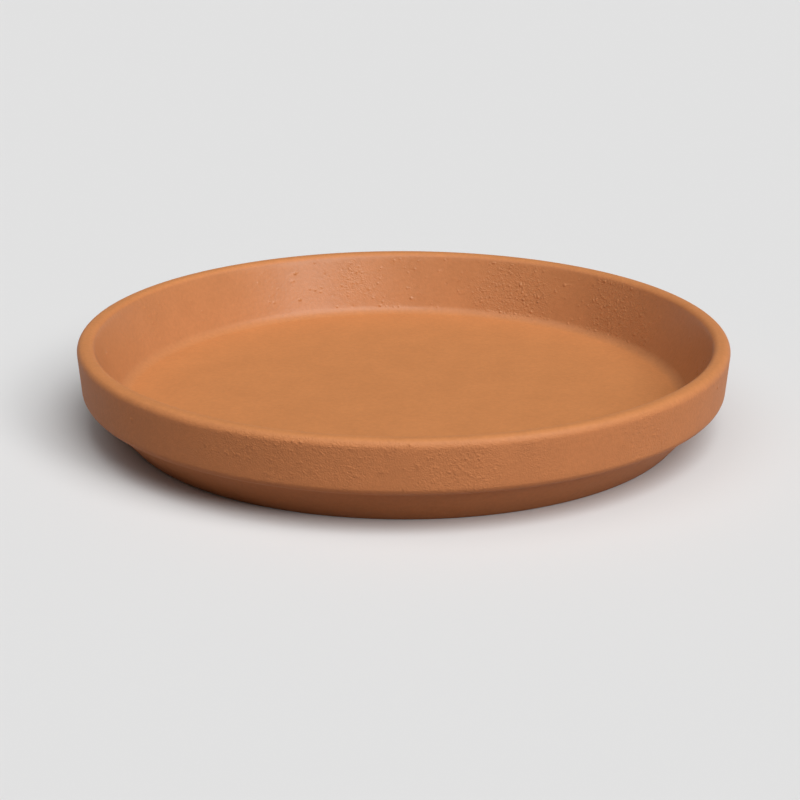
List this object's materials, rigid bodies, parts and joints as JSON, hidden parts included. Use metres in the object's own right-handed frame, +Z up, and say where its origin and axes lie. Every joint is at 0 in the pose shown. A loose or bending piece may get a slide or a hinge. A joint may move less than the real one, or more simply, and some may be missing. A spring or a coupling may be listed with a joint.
{
  "type": "plant saucer",
  "caption": "Round shallow terracotta saucer with a thick collar, rounded rim and hollowed foot, to stand under a plant pot and catch its drain water.",
  "frame": {"origin": "middle of the foot, on the surface that the saucer stands on", "axes": "+Z up along the saucer's axis of revolution, out of its open side; X and Y are any two level directions"},
  "size_m": [0.25, 0.25, 0.035],
  "materials": {
    "terracotta": "unglazed fired clay, matt, with patches of fine grit"
  },
  "bodies": {
    "root": {"saucer": "terracotta"}
  },
  "joints": []
}
